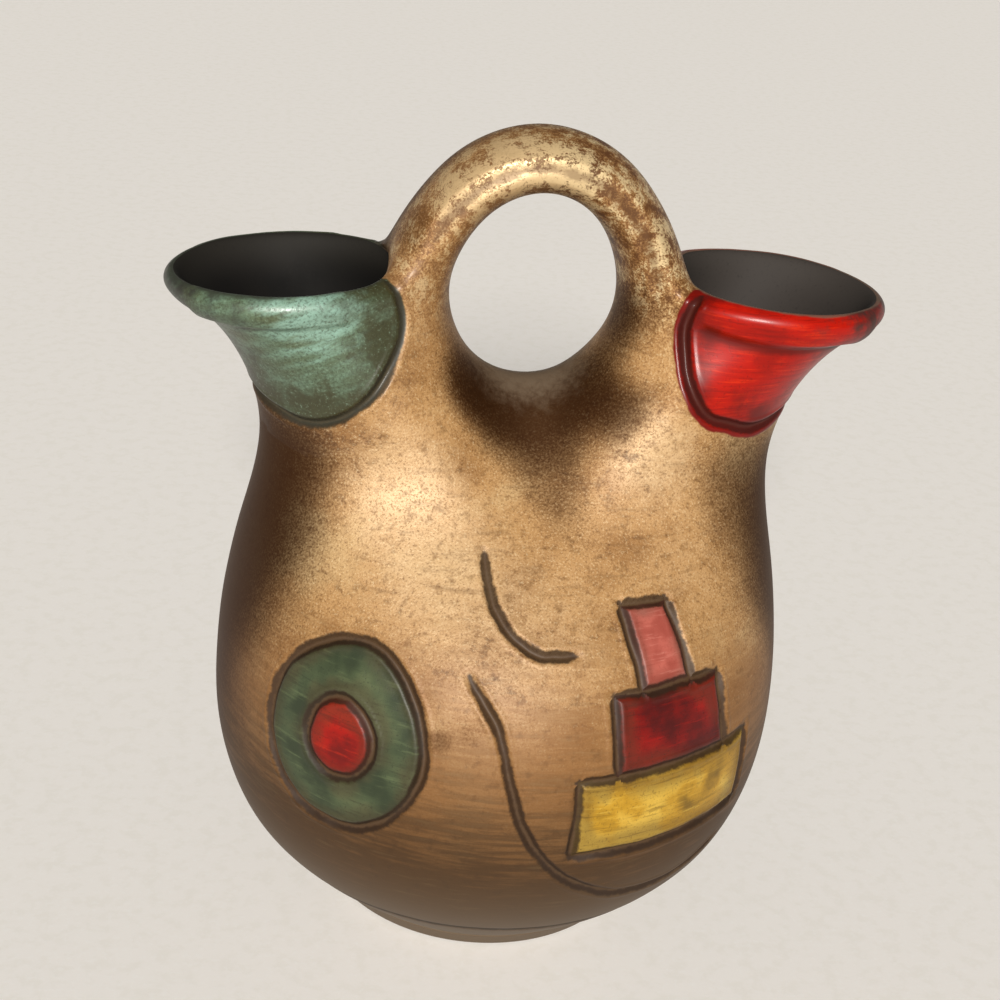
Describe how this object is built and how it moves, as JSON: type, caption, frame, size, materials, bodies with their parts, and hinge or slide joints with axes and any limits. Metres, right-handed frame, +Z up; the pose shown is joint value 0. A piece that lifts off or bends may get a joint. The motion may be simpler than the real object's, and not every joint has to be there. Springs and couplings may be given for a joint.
{
  "type": "wedding pitcher",
  "caption": "Hand-built clay pitcher with a round belly, flared spouts left and right and an arched strap handle joining their lips, for pouring from either side.",
  "frame": {"origin": "centre of the foot's flat resting face", "axes": "+Z up, +X from the green spout to the red spout, -Y the front as pictured"},
  "size_m": [0.1738, 0.1438, 0.2031],
  "materials": {
    "bronzed_clay": "burnished gold-bronze wash over brown clay",
    "bare_clay": "matt brown clay",
    "green_glazed_clay": "brushed green glaze",
    "red_glazed_clay": "glossy red glaze"
  },
  "bodies": {
    "root": {"foot_slab": "bare_clay", "belly_bowl": "bronzed_clay", "shoulder_saddle": "bronzed_clay", "left_spout": "green_glazed_clay", "left_lip": "green_glazed_clay", "right_spout": "red_glazed_clay", "right_lip": "red_glazed_clay", "handle_arch": "bronzed_clay"}
  },
  "joints": []
}
